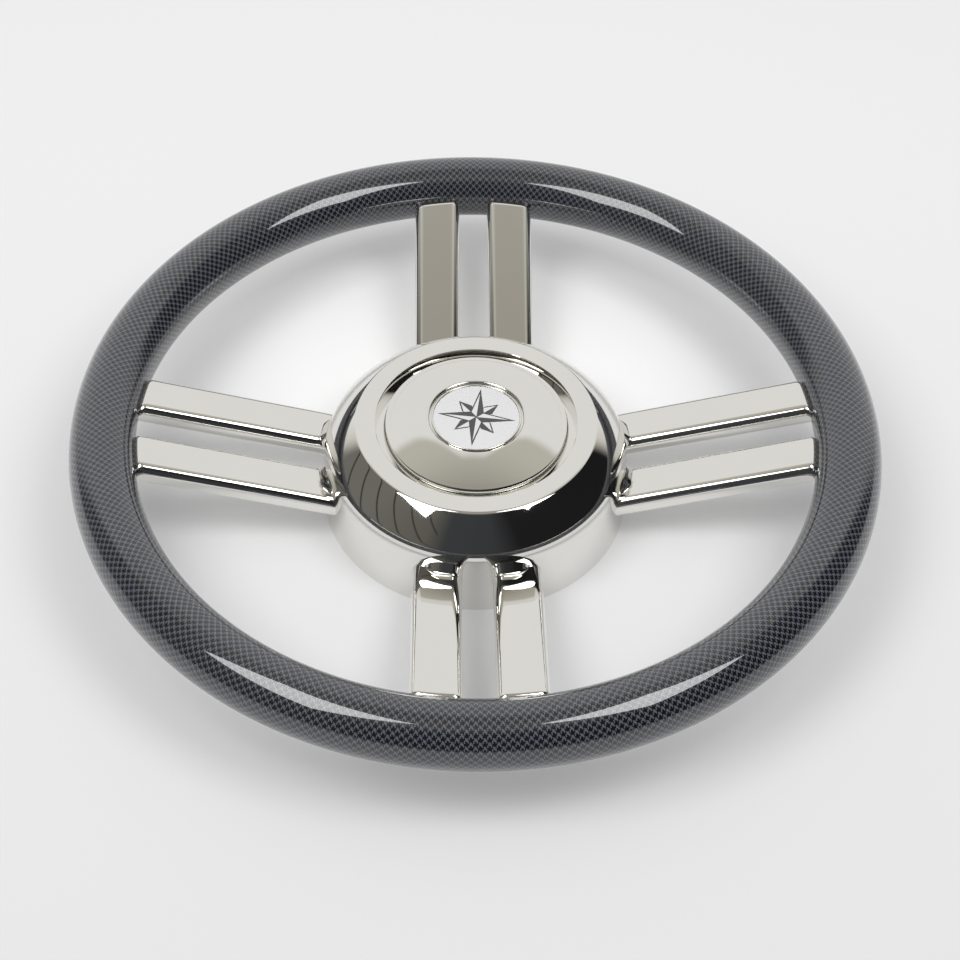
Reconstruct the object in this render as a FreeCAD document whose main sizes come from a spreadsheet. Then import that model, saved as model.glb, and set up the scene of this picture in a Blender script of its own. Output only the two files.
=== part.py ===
import FreeCAD
import Part
import Sketcher
import math
import os

# A boat's steering wheel, in millimetres, +Z up, towards the helmsman.
# The origin is at the centre of the hub's back face, which lies in the plane z = 0.
# Four forked spokes stand at right angles, along +X, +Y, -X and -Y.

doc = FreeCAD.newDocument("steering_wheel")
sheet = doc.addObject("Spreadsheet::Sheet", "sizes")

SIZES = {
    # Rim
    "wheel_diameter": 350.0,
    "grip_diameter": 28.0,
    "rim_height": 42.0,
    "core_diameter": 10.0,
    # Spoke bars, two to a fork
    "bar_width": 21.0,
    "bar_gap": 13.2,
    "bar_thickness": 9.0,
    "bar_hub_height": 19.9,
    "bar_top_round": 4.0,
    "bar_bottom_round": 2.4,
    "bar_end_depth": 10.0,
    # Root of a fork, where it goes into the hub
    "slot_inset": 2.3,
    "step_inset": 2.0,
    "collar_outset": 1.6,
    "collar_inset": 6.6,
    "collar_rise": 4.9,
    "collar_tilt": 66.0,
    "collar_crest": 1.6,
    "collar_sink": 4.0,
    "collar_slot_side": 1.2,
    "collar_slot_round": 5.0,
    "collar_outer_side": 4.7,
    "collar_outer_round": 7.0,
    "tab_inset": 26.6,
    "tab_bottom": 13.0,
    # Hub shell
    "skin": 1.6,
    "groove_width": 3.5,
    "ring_width": 8.3,
    "ring_height": 44.9,
    "ring_rise": 0.4,
    "dome_tilt": 36.0,
    "dome_curve": 62.6,
    "shoulder_tilt": 50.5,
    "shoulder_curve": 13.0,
    "skirt_flare": 0.9,
    "recess_depth": 3.9,
    "neck_inset": 12.3,
    "neck_length": 9.0,
    # Hub core
    "boss_radius": 22.0,
    "boss_below_neck": 1.0,
    "flange_inset": 6.6,
    "flange_thickness": 6.0,
    "bore_diameter": 19.05,
    "bore_ratio": 12.0,
    "key_width": 4.76,
    "key_depth": 2.4,
    "nut_seat_radius": 15.0,
    "nut_seat_depth": 5.0,
    "post_radius": 3.8,
    "foot_inset": 11.6,
    # Back plate
    "plate_thickness": 3.0,
    "plate_clearance": 0.3,
    # Centre cap
    "cap_radius": 40.3,
    "cap_edge_round": 1.5,
    "cap_crown": 165.0,
    "cap_wall": 1.6,
    "cap_hollow": 3.0,
    "cap_clearance": 0.3,
    "spigot_wall": 3.8,
    "spigot_below": 7.5,
    "seal_radius": 0.9,
    "seal_rise": 2.1,
    "seal_clearance": 0.3,
    # Badge
    "badge_radius": 18.7,
    "badge_thickness": 1.5,
    "badge_seat": 6.0,
    "bezel_width": 0.9,
    "bezel_gap": 0.8,
    "bezel_stand": 0.3,
    "badge_sink": 2.2,
    # Fasteners
    "fork_screw_radius": 2.5,
    "fork_head_radius": 4.2,
    "fork_head_height": 5.0,
    "fork_screw_length": 14.0,
    "fork_screw_inset": 17.6,
    "fork_screw_side": 14.0,
    "shell_screw_radius": 2.0,
    "shell_head_radius": 3.3,
    "shell_head_height": 2.4,
    "shell_screw_length": 10.0,
    "plate_screw_radius": 2.0,
    "plate_head_radius": 3.6,
    "plate_head_height": 1.8,
    "plate_screw_length": 8.0,
}

for row, (name, number) in enumerate(SIZES.items(), start=1):
    sheet.set("A%d" % row, name)
    sheet.set("B%d" % row, str(number))
    sheet.setAlias("B%d" % row, name)
doc.recompute()


def size(expression):
    """The number that an expression of sheet names has now."""
    return float(sheet.evalExpression(expression))


def bound(expression):
    """The same expression as other objects write it, with the sheet's name before each alias."""
    words = []
    word = ""
    for letter in expression + " ":
        if letter.isalnum() or letter == "_":
            word += letter
            continue
        words.append("sizes." + word if word in SIZES else word)
        words.append(letter)
        word = ""
    return "".join(words).strip()


# Sizes that follow from the driving ones
RING_INNER = "(cap_radius + groove_width)"
RING_RADIUS = "(%s + ring_width)" % RING_INNER
RING_INNER_HEIGHT = "(ring_height + ring_rise)"
SHOULDER = "(%s - dome_curve * sin(dome_tilt) + dome_curve * sin(shoulder_tilt))" % RING_RADIUS
WALL = "(%s + shoulder_curve * (1 - sin(shoulder_tilt)))" % SHOULDER
SKIRT = "(%s + skirt_flare)" % WALL
NECK = "(cap_radius - neck_inset)"
POST_CIRCLE = "(%s + skin + (neck_inset - cap_wall - skin) / 2)" % NECK
FOOT_CIRCLE = "(%s - foot_inset)" % WALL
RECESS_FLOOR = "(ring_height - recess_depth)"
NECK_BOTTOM = "(%s - neck_length)" % RECESS_FLOOR
BOSS_HEIGHT = "(%s - boss_below_neck)" % NECK_BOTTOM
CAP_UNDER = "(%s + cap_hollow)" % RECESS_FLOOR
SPIGOT_BOTTOM = "(%s - spigot_below)" % RECESS_FLOOR
BADGE_FLOOR = "(%s + badge_seat)" % RECESS_FLOOR
BADGE_RIM_HEIGHT = "(%s + badge_sink)" % BADGE_FLOOR
SEAL_HEIGHT = "(%s + seal_rise)" % SPIGOT_BOTTOM
GRIP = "(grip_diameter / 2)"
RIM = "((wheel_diameter - grip_diameter) / 2)"
RIM_INSIDE = "(wheel_diameter / 2 - grip_diameter)"
FORK_HALF = "(bar_width + bar_gap / 2)"
TAB_TOP = "(tab_bottom + bar_thickness)"
SLOPE = "(atan((rim_height - bar_hub_height) / (%s - %s)))" % (RIM_INSIDE, WALL)
HALF_DEPTH = "(bar_thickness / 2 / cos(%s))" % SLOPE
SLOT_END = "(%s - slot_inset)" % WALL
STEP = "(%s - bar_gap / 2 - step_inset)" % SLOT_END
TIP = "(%s + bar_end_depth)" % RIM_INSIDE


def bar_face(reach, side):
    """Height of the bar's upper (+) or lower (-) face at a reach from the axis."""
    return "(rim_height %s %s + (%s - %s) * tan(%s))" % (side, HALF_DEPTH, reach, RIM_INSIDE, SLOPE)


def new_body(label):
    body = doc.addObject("PartDesign::Body", label)
    body.Label = label
    return body


def new_sketch(body, name, role):
    """A sketch on one of the body's own origin planes."""
    plane = [item for item in body.Origin.OriginFeatures if item.Role == role][0]
    sketch = body.newObject("Sketcher::SketchObject", name)
    sketch.AttachmentSupport = [(plane, "")]
    sketch.MapMode = "FlatFace"
    return sketch


def pin(sketch, geometry, end, x, y):
    """Tie one end of a line or arc to its place."""
    for kind, axis, expression in (("DistanceX", -2, x), ("DistanceY", -1, y)):
        if expression == "0":
            sketch.addConstraint(Sketcher.Constraint("PointOnObject", geometry, end, axis))
            continue
        number = size(expression)
        index = sketch.addConstraint(Sketcher.Constraint(kind, -1, 1, geometry, end, number))
        sketch.setExpression("Constraints[%d]" % index, bound(expression))


def outline(sketch, corners):
    """Draw a closed outline. A corner is (x, y), or (x, y, radius, side) where an arc leaves it.

    side is 1 where the arc's centre lies to the left of the way to the next corner, and -1 to the right.
    """
    first = sketch.GeometryCount
    count = len(corners)
    ends = []
    for place, corner in enumerate(corners):
        after = corners[(place + 1) % count]
        a = FreeCAD.Vector(size(corner[0]), size(corner[1]), 0)
        b = FreeCAD.Vector(size(after[0]), size(after[1]), 0)
        if len(corner) == 2:
            sketch.addGeometry(Part.LineSegment(a, b), False)
            ends.append((1, 2))
            continue
        radius = size(corner[2])
        chord = b - a
        left = FreeCAD.Vector(-chord.y, chord.x, 0).normalize()
        offset = math.sqrt(max(radius ** 2 - (chord.Length / 2) ** 2, 0.0))
        centre = (a + b) * 0.5 + left * offset * corner[3]
        start = math.atan2(a.y - centre.y, a.x - centre.x)
        stop = math.atan2(b.y - centre.y, b.x - centre.x)
        if corner[3] < 0:
            start, stop = stop, start
        circle = Part.Circle(centre, FreeCAD.Vector(0, 0, 1), radius)
        sketch.addGeometry(Part.ArcOfCircle(circle, start, stop), False)
        ends.append((1, 2) if corner[3] > 0 else (2, 1))
    for place, corner in enumerate(corners):
        after = (place + 1) % count
        here = first + place
        sketch.addConstraint(Sketcher.Constraint("Coincident", here, ends[place][1], first + after, ends[after][0]))
        pin(sketch, here, ends[place][0], corner[0], corner[1])
        if len(corner) > 2:
            index = sketch.addConstraint(Sketcher.Constraint("Radius", here, size(corner[2])))
            sketch.setExpression("Constraints[%d]" % index, bound(corner[2]))


def revolve(body, sketch):
    turn = body.newObject("PartDesign::Revolution", body.Label + "_turn")
    turn.Profile = sketch
    turn.ReferenceAxis = (sketch, ["V_Axis"])
    turn.Angle = 360
    sketch.Visibility = False
    doc.recompute()
    return turn


def edges_where(shape, test):
    return ["Edge%d" % (place + 1) for place, edge in enumerate(shape.Edges) if test(edge)]


def fillet(body, base, name, edges, expression):
    rounding = body.newObject("PartDesign::Fillet", name)
    rounding.Base = (base, edges)
    rounding.setExpression("Radius", bound(expression))
    doc.recompute()
    return rounding


def cylinder(name, radius, height, place):
    """A cylinder along +Z. place is three expressions."""
    piece = doc.addObject("Part::Cylinder", name)
    piece.setExpression("Radius", bound(radius))
    piece.setExpression("Height", bound(height))
    set_place(piece, place)
    return piece


def set_place(piece, place):
    for axis, expression in zip("xyz", place):
        piece.setExpression("Placement.Base." + axis, bound(expression))


def cut(label, base, tools):
    """Base less the tools."""
    tool = tools[0]
    if len(tools) > 1:
        tool = doc.addObject("Part::MultiFuse", label + "_tools")
        tool.Shapes = tools
    result = doc.addObject("Part::Cut", label)
    result.Label = label
    result.Base = base
    result.Tool = tool
    return result


def fused(name, pieces):
    union = doc.addObject("Part::MultiFuse", name)
    union.Shapes = pieces
    return union


# Fasteners
def screws(label, places, sunk, widths, lengths):
    """Screws along Z at (x, y) places.

    Each of sunk, widths and lengths gives the head's value and then the shank's: the height of the
    lower end, the radius and the length.
    """
    pieces = []
    for number, (x, y) in enumerate(places):
        head = cylinder("%s_head_%d" % (label, number), widths[0], lengths[0], (x, y, sunk[0]))
        shank = cylinder("%s_shank_%d" % (label, number), widths[1], lengths[1], (x, y, sunk[1]))
        pieces += [head, shank]
    union = fused(label, pieces)
    union.Label = label
    return union


def around(circle, start):
    """Four (x, y) places on a circle, from a start angle on, a quarter turn apart."""
    angles = [start + 90 * turn for turn in range(4)]
    return [("%s * cos(%d)" % (circle, angle), "%s * sin(%d)" % (circle, angle)) for angle in angles]


fork_spots = []
for quarter in range(4):
    for side in ("+", "-"):
        reach = "(%s - fork_screw_inset)" % WALL
        across = "(%s fork_screw_side)" % side
        x = "%s * cos(%d) - %s * sin(%d)" % (reach, 90 * quarter, across, 90 * quarter)
        y = "%s * sin(%d) + %s * cos(%d)" % (reach, 90 * quarter, across, 90 * quarter)
        fork_spots.append((x, y))
fork_screws = screws(
    "fork_screws",
    fork_spots,
    (TAB_TOP, "%s - fork_screw_length" % TAB_TOP),
    ("fork_head_radius", "fork_screw_radius"),
    ("fork_head_height", "fork_screw_length"),
)
shell_screws = screws(
    "shell_screws",
    around(POST_CIRCLE, 45),
    (RECESS_FLOOR, RECESS_FLOOR + " - shell_screw_length"),
    ("shell_head_radius", "shell_screw_radius"),
    ("shell_head_height", "shell_screw_length"),
)
plate_screws = screws(
    "plate_screws",
    around(FOOT_CIRCLE, 45),
    ("0", "plate_head_height"),
    ("plate_head_radius", "plate_screw_radius"),
    ("plate_head_height", "plate_screw_length"),
)
doc.recompute()

# Rim core: a steel rod bent into a ring
rim_core = doc.addObject("Part::Torus", "rim_core")
rim_core.Label = "rim_core"
rim_core.setExpression("Radius1", bound(RIM))
rim_core.setExpression("Radius2", bound("core_diameter / 2"))
set_place(rim_core, ("0", "0", "rim_height"))


# Forked spokes
# Seen from the side, a fork is a level tab inside the hub and two bars that climb to the rim.
def beside(point, sense, radius, tilt):
    """A point at a radius from another, along the normal of a face that falls outwards by tilt."""
    x = "(%s %s %s * sin(%s))" % (point[0], sense, radius, tilt)
    z = "(%s %s %s * cos(%s))" % (point[1], sense, radius, tilt)
    return x, z


BEND = "(%s + (tab_bottom - rim_height + %s) / tan(%s))" % (RIM_INSIDE, HALF_DEPTH, SLOPE)
TAB_INNER = "(%s - tab_inset)" % WALL
fork = new_body("fork")
side_view = new_sketch(fork, "fork_side", "XZ_Plane")
outline(side_view, [
    (TAB_INNER, "tab_bottom"),
    (BEND, "tab_bottom"),
    (TIP, bar_face(TIP, "-")),
    (TIP, bar_face(TIP, "+")),
    (STEP, bar_face(STEP, "+")),
    (STEP, TAB_TOP),
    (TAB_INNER, TAB_TOP),
])
pad = fork.newObject("PartDesign::Pad", "fork_pad")
pad.Profile = side_view
pad.Midplane = True
pad.setExpression("Length", bound("2 * " + FORK_HALF))
doc.recompute()

# The slot between the two bars ends in a round arch at the hub
slot_view = new_sketch(fork, "fork_slot", "XY_Plane")
SLOT_HALF = "(bar_gap / 2)"
ARCH = "(%s + %s)" % (SLOT_END, SLOT_HALF)
BEYOND = "(%s + bar_end_depth)" % TIP
outline(slot_view, [
    (ARCH, SLOT_HALF, SLOT_HALF, 1),
    (SLOT_END, "0", SLOT_HALF, 1),
    (ARCH, "(-%s)" % SLOT_HALF),
    (BEYOND, "(-%s)" % SLOT_HALF),
    (BEYOND, SLOT_HALF),
])
slot = fork.newObject("PartDesign::Pocket", "fork_gap")
slot.Profile = slot_view
slot.Type = "ThroughAll"
slot.Midplane = True
doc.recompute()


def long_edge(edge, upper):
    """Whether an edge runs along the top (upper) or the bottom of the bars, or round the arch."""
    middle = edge.valueAt((edge.FirstParameter + edge.LastParameter) / 2)
    along = edge.tangentAt((edge.FirstParameter + edge.LastParameter) / 2)
    inner = size(SLOT_END) - size(SLOT_HALF)
    outer = size(TIP) - 0.01
    if not inner < middle.x < outer or abs(along.z) > 0.95:
        return False
    slope = math.tan(math.radians(size(SLOPE)))
    axis = size("rim_height") + (middle.x - size(RIM_INSIDE)) * slope
    on_side = abs(abs(middle.y) - size(FORK_HALF)) < 0.01 or abs(middle.y) < size(SLOT_HALF) + 0.01
    return on_side and (middle.z > axis) == upper


upper_edges = edges_where(slot.Shape, lambda edge: long_edge(edge, True))
upper_round = fillet(fork, slot, "fork_upper_round", upper_edges, "bar_top_round")
lower_edges = edges_where(upper_round.Shape, lambda edge: long_edge(edge, False))
lower_round = fillet(fork, upper_round, "fork_lower_round", lower_edges, "bar_bottom_round")
fork.Tip = lower_round
doc.recompute()

# Collar: a steep step on each bar where it goes into the hub's wall, turned about the wheel's axis
FOOT = "(%s + collar_outset)" % WALL
FOOT_HEIGHT = bar_face(FOOT, "+")
COLLAR_TOP = "(%s + collar_rise)" % FOOT_HEIGHT
COLLAR_BASE = "(%s - collar_sink)" % FOOT_HEIGHT
RAMP_TOP = "(%s - collar_crest * (1 - cos(collar_tilt)))" % COLLAR_TOP
RAMP_END = "(%s - (%s - %s) / tan(collar_tilt))" % (FOOT, RAMP_TOP, FOOT_HEIGHT)
collar_ring = new_body("collar_ring")
collar_section = new_sketch(collar_ring, "collar_section", "XZ_Plane")
outline(collar_section, [
    ("%s - collar_inset" % WALL, COLLAR_BASE),
    ("%s + collar_sink / tan(collar_tilt)" % FOOT, COLLAR_BASE),
    (RAMP_END, RAMP_TOP, "collar_crest", 1),
    ("%s - collar_crest * sin(collar_tilt)" % RAMP_END, COLLAR_TOP),
    ("%s - collar_inset" % WALL, COLLAR_TOP),
])
revolve(collar_ring, collar_section)

# Only the part of the ring that lies on a bar is kept, with its upper corners rounded
COLLAR_IN = "(bar_gap / 2 + collar_slot_side)"
COLLAR_OUT = "(%s - collar_outer_side)" % FORK_HALF
collar_front = new_body("collar_front")
front_view = new_sketch(collar_front, "collar_outline", "YZ_Plane")
outline(front_view, [
    (COLLAR_IN, COLLAR_BASE),
    (COLLAR_OUT, COLLAR_BASE),
    (COLLAR_OUT, "%s - collar_outer_round" % COLLAR_TOP, "collar_outer_round", 1),
    ("%s - collar_outer_round" % COLLAR_OUT, COLLAR_TOP),
    ("%s + collar_slot_round" % COLLAR_IN, COLLAR_TOP, "collar_slot_round", 1),
    (COLLAR_IN, "%s - collar_slot_round" % COLLAR_TOP),
])
front_pad = collar_front.newObject("PartDesign::Pad", "collar_pad")
front_pad.Profile = front_view
front_pad.setExpression("Length", bound("2 * " + FOOT))
doc.recompute()
collar = doc.addObject("Part::Common", "collar")
collar.Base = collar_ring
collar.Tool = collar_front
mirrored = doc.addObject("Part::Mirroring", "collar_mirrored")
mirrored.Source = collar
mirrored.Normal = FreeCAD.Vector(0, 1, 0)
forked = fused("fork_with_collar", [fork, collar, mirrored])
doc.recompute()
fork_tools = fused("fork_tools", [rim_core, fork_screws])
spokes = []
for quarter, label in enumerate(("spoke_right", "spoke_back", "spoke_left", "spoke_front")):
    spoke = cut(label, forked, [fork_tools])
    spoke.Placement.Rotation = FreeCAD.Rotation(FreeCAD.Vector(0, 0, 1), 90 * quarter)
    spokes.append(spoke)
doc.recompute()

# Rim grip: a solid ring round the core and the bars' ends
grip_blank = doc.addObject("Part::Torus", "grip_blank")
grip_blank.setExpression("Radius1", bound(RIM))
grip_blank.setExpression("Radius2", bound(GRIP))
set_place(grip_blank, ("0", "0", "rim_height"))
rim_grip = cut("rim_grip", grip_blank, spokes + [rim_core])
doc.recompute()


# Hub shell: a spun skin with a ring on top, a groove, a floor under the cap and a neck
def dome_arc(offset):
    """The shell's three meeting points from ring to wall, each moved inwards by an offset."""
    ring = (RING_RADIUS, "ring_height")
    curve = beside(ring, "-", "dome_curve", "dome_tilt")
    shoulder = beside(curve, "+", "dome_curve", "shoulder_tilt")
    bend = beside(shoulder, "-", "shoulder_curve", "shoulder_tilt")
    points = [
        beside(ring, "-", offset, "dome_tilt"),
        beside(shoulder, "-", offset, "shoulder_tilt"),
        ("(%s + shoulder_curve - %s)" % (bend[0], offset), bend[1]),
    ]
    return points


outer = dome_arc("0.0")
inner = dome_arc("skin")
hub_body = new_body("hub_shell_blank")
hub_view = new_sketch(hub_body, "hub_shell_section", "XZ_Plane")
outline(hub_view, [
    (SKIRT, "0"),
    outer[2] + ("shoulder_curve", 1),
    outer[1] + ("dome_curve", 1),
    outer[0],
    (RING_INNER, RING_INNER_HEIGHT),
    (RING_INNER, RECESS_FLOOR),
    (NECK, RECESS_FLOOR),
    (NECK, NECK_BOTTOM),
    (NECK + " + skin", NECK_BOTTOM),
    (NECK + " + skin", RECESS_FLOOR + " - skin"),
    (RING_INNER + " + skin", RECESS_FLOOR + " - skin"),
    (RING_INNER + " + skin", RING_INNER_HEIGHT + " - skin"),
    inner[0] + ("dome_curve - skin", -1),
    inner[1] + ("shoulder_curve - skin", -1),
    inner[2],
    (SKIRT + " - skin", "0"),
])
revolve(hub_body, hub_view)
hub_shell = cut("hub_shell", hub_body, spokes + [shell_screws])

# Hub core: a boss with a taper bore and keyway, a flange under the forks, posts and feet
FLANGE_BOTTOM = "(tab_bottom - flange_thickness)"
core_body = new_body("hub_core_blank")
core_view = new_sketch(core_body, "hub_core_section", "XZ_Plane")
SEAT_FLOOR = "(%s - nut_seat_depth)" % BOSS_HEIGHT
FLANGE_RADIUS = "(%s - flange_inset)" % WALL
outline(core_view, [
    ("bore_diameter / 2", "0"),
    ("boss_radius", "0"),
    ("boss_radius", FLANGE_BOTTOM),
    (FLANGE_RADIUS, FLANGE_BOTTOM),
    (FLANGE_RADIUS, "tab_bottom"),
    ("boss_radius", "tab_bottom"),
    ("boss_radius", BOSS_HEIGHT),
    ("nut_seat_radius", BOSS_HEIGHT),
    ("nut_seat_radius", SEAT_FLOOR),
    ("bore_diameter / 2 - %s / bore_ratio / 2" % SEAT_FLOOR, SEAT_FLOOR),
])
revolve(core_body, core_view)
posts = []
for number, (x, y) in enumerate(around(POST_CIRCLE, 45)):
    rise = "(%s - skin - tab_bottom)" % RECESS_FLOOR
    posts.append(cylinder("post_%d" % number, "post_radius", rise, (x, y, "tab_bottom")))
for number, (x, y) in enumerate(around(FOOT_CIRCLE, 45)):
    rise = "(%s - plate_thickness)" % FLANGE_BOTTOM
    posts.append(cylinder("foot_%d" % number, "post_radius", rise, (x, y, "plate_thickness")))
keyway = doc.addObject("Part::Box", "keyway")
keyway.setExpression("Length", bound("bore_diameter / 2 + key_depth"))
keyway.setExpression("Width", bound("key_width"))
keyway.setExpression("Height", bound(SEAT_FLOOR))
set_place(keyway, ("0", "-key_width / 2", "0"))
core_solid = fused("hub_core_solid", [core_body] + posts)
hub_core = cut("hub_core", core_solid, [keyway, fork_screws, shell_screws, plate_screws])

# Back plate: closes the hub round the boss
plate_blank = cylinder("plate_blank", SKIRT + " - skin - plate_clearance", "plate_thickness", ("0", "0", "0"))
plate_hole = cylinder("plate_hole", "boss_radius + plate_clearance", "plate_thickness", ("0", "0", "0"))
back_plate = cut("back_plate", plate_blank, [plate_hole, plate_screws])

# Centre cap: a crowned cover with a spigot that plugs into the neck
SPIGOT = "(%s - cap_clearance)" % NECK
SEAL_RING = "(%s - seal_clearance - seal_radius)" % NECK
SEAL_FLOOR = "(%s - seal_radius - seal_clearance)" % SEAL_RING
BEZEL_EDGE = "(badge_radius + bezel_width)"
BADGE_EDGE = "(%s + bezel_gap)" % BEZEL_EDGE
CROWN_DROP = "(sqrt(cap_crown ^ 2 - %s ^ 2) - sqrt(cap_crown ^ 2 - cap_radius ^ 2))" % BADGE_EDGE
CAP_EDGE = "(%s - %s)" % (BADGE_RIM_HEIGHT, CROWN_DROP)
cap_body = new_body("center_cap")
cap_view = new_sketch(cap_body, "center_cap_section", "XZ_Plane")
SEAL_GAP = "(seal_radius + seal_clearance)"
outline(cap_view, [
    ("0", CAP_UNDER),
    ("%s - spigot_wall" % SPIGOT, CAP_UNDER),
    ("%s - spigot_wall" % SPIGOT, SPIGOT_BOTTOM),
    (SPIGOT, SPIGOT_BOTTOM),
    (SPIGOT, "%s - %s" % (SEAL_HEIGHT, SEAL_GAP)),
    (SEAL_FLOOR, "%s - %s" % (SEAL_HEIGHT, SEAL_GAP)),
    (SEAL_FLOOR, "%s + %s" % (SEAL_HEIGHT, SEAL_GAP)),
    (SPIGOT, "%s + %s" % (SEAL_HEIGHT, SEAL_GAP)),
    (SPIGOT, CAP_UNDER),
    ("cap_radius - cap_wall", CAP_UNDER),
    ("cap_radius - cap_wall", RECESS_FLOOR),
    ("cap_radius", RECESS_FLOOR),
    ("cap_radius", CAP_EDGE, "cap_crown", 1),
    (BADGE_EDGE, BADGE_RIM_HEIGHT),
    (BADGE_EDGE, BADGE_FLOOR),
    ("0", BADGE_FLOOR),
])
cap_turn = revolve(cap_body, cap_view)
rim_edges = edges_where(cap_turn.Shape, lambda edge: abs(edge.BoundBox.ZMin - size(CAP_EDGE)) < 0.01)
cap_round = fillet(cap_body, cap_turn, "center_cap_round", rim_edges, "cap_edge_round")
cap_body.Tip = cap_round

# Seal ring on the spigot
cap_ring = doc.addObject("Part::Torus", "cap_ring")
cap_ring.Label = "cap_ring"
cap_ring.setExpression("Radius1", bound(SEAL_RING))
cap_ring.setExpression("Radius2", bound("seal_radius"))
set_place(cap_ring, ("0", "0", SEAL_HEIGHT))

# Badge in the cap's recess, with a thin polished bezel round it
badge_disc = cylinder("badge_disc", "badge_radius", "badge_thickness", ("0", "0", BADGE_FLOOR))
badge_disc.Label = "badge_disc"
bezel_height = "badge_thickness + bezel_stand"
bezel_blank = cylinder("bezel_blank", BEZEL_EDGE, bezel_height, ("0", "0", BADGE_FLOOR))
badge_bezel = cut("badge_bezel", bezel_blank, [badge_disc])
doc.recompute()

# Checks and export
for item in doc.Objects:
    if "Invalid" in item.State or "Error" in item.State:
        raise RuntimeError("%s was not computed" % item.Label)
os.makedirs("parts", exist_ok=True)
parts = [rim_grip, rim_core] + spokes + [hub_shell, hub_core, back_plate, cap_body, cap_ring]
parts += [badge_bezel, badge_disc, fork_screws, shell_screws, plate_screws]
for item in parts:
    if item.Shape.isNull() or not item.Shape.isValid():
        raise RuntimeError("%s has no sound shape" % item.Label)
    item.Shape.exportStep("parts/%s.step" % item.Label)
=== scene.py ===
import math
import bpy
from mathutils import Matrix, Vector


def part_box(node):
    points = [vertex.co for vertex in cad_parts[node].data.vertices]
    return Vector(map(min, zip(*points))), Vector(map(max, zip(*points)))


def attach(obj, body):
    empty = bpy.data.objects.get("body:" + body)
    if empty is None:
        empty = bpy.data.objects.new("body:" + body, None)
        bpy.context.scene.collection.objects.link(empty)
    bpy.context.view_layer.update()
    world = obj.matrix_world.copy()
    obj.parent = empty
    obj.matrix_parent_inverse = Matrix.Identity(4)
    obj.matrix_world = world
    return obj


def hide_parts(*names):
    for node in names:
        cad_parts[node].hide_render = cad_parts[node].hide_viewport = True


bl_info = {
    "name": "Boat steering wheel",
    "version": (1, 0, 0),
    "blender": (4, 5, 0),
    "location": "View3D > Sidebar > Wheel",
    "description": "Dresses the packed steering wheel with finished pieces, materials and a studio",
    "category": "Object",
}

import bmesh
import bpy
from mathutils import Matrix, Vector

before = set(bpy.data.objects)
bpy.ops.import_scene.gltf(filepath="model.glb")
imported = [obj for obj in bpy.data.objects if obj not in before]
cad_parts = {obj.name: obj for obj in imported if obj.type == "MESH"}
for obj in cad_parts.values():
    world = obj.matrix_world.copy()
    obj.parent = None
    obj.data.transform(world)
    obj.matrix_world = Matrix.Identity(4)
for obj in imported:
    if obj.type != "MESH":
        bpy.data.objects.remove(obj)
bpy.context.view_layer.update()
MM = 0.001
GRIP_LOW, GRIP_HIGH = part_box("rim_grip")
TUBE = (GRIP_HIGH.z - GRIP_LOW.z) / 2
RIM = GRIP_HIGH.x - TUBE
RIM_HEIGHT = (GRIP_HIGH.z + GRIP_LOW.z) / 2
BADGE_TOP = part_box("badge_disc")[1].z

# The printed weave, counted in threads
REPEAT = 8
LIGHT_THREADS = 3
TWILL = 4

# Steps of a turn, round the axis and round the grip's tube
RIM_STEPS = 288
TUBE_STEPS = 72
HUB_STEPS = 240
BADGE_STEPS = 160

# Vertices closer than this are merged
MERGE = 1e-6


# Sizes and colours that a user may change
def length(name, description, default):
    return bpy.props.FloatProperty(
        name=name, description=description, default=default, unit="LENGTH", precision=5
    )


def angle(name, description, degrees):
    return bpy.props.FloatProperty(
        name=name, description=description, default=math.radians(degrees), subtype="ANGLE"
    )


def colour(name, description, default):
    return bpy.props.FloatVectorProperty(
        name=name, description=description, default=default, subtype="COLOR", min=0.0, max=1.0
    )


class WheelSizes(bpy.types.PropertyGroup):
    """Sizes of the finished pieces, in metres"""

    rim_radius: length("Rim radius", "From the axis to the middle of the tube", RIM)
    tube_radius: length("Tube radius", "Half the grip's thickness", TUBE)
    weave: length("Weave pitch", "Length of one repeat of the printed weave", 0.0033)
    bar_width: length("Bar width", "Width of one spoke bar", 0.021)
    bar_gap: length("Bar gap", "Gap between the two bars of a spoke", 0.0132)
    bar_thickness: length("Bar thickness", "Thickness of a spoke bar", 0.009)
    bar_top_round: length("Upper rounding", "Radius on a bar's upper long edges", 0.0042)
    bar_bottom_round: length("Lower rounding", "Radius on a bar's lower long edges", 0.0024)
    cap_crown: length("Cap crown", "Radius of the centre cap's crown", 0.165)
    rose_radius: length("Rose radius", "Reach of the compass rose's long points", 0.017)


class WheelFinishes(bpy.types.PropertyGroup):
    """Colours of the finishes"""

    steel: colour("Steel", "Polished stainless steel", (0.82, 0.81, 0.775))
    thread_dark: colour("Dark thread", "Dark thread of the printed weave", (0.006, 0.006, 0.008))
    thread_light: colour("Light thread", "Light thread of the printed weave", (0.115, 0.124, 0.15))
    badge: colour("Badge", "Face of the badge", (0.72, 0.72, 0.725))
    ink: colour("Ink", "Dark halves and outlines of the rose", (0.055, 0.056, 0.06))


class StudioSettings(bpy.types.PropertyGroup):
    """Where the camera stands and what the studio is like"""

    elevation: angle("Camera elevation", "Above the horizon", 46.806)
    azimuth: angle("Camera azimuth", "Round the wheel's axis", -1.41)
    roll: angle("Camera roll", "Turn about the line of sight", 1.275)
    distance: length("Camera distance", "From the rim's centre", 0.8888)
    aim_right: length("Aim right", "Sideways shift of the aim", 0.00213)
    aim_up: length("Aim up", "Upward shift of the aim", -0.02281)
    lens: bpy.props.FloatProperty(
        name="Lens", description="Focal length in millimetres", default=76.72, unit="CAMERA"
    )
    # The floor's two colours are painted light: painted shade on the near floor and painted light on the
    # far floor, as if the light fell more strongly beyond the wheel
    near_floor_painted_shade: colour("Near floor", "Floor in front of the wheel", (0.70, 0.70, 0.705))
    far_floor_painted_light: colour("Far floor", "Floor beyond the wheel", (0.93, 0.93, 0.93))


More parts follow.
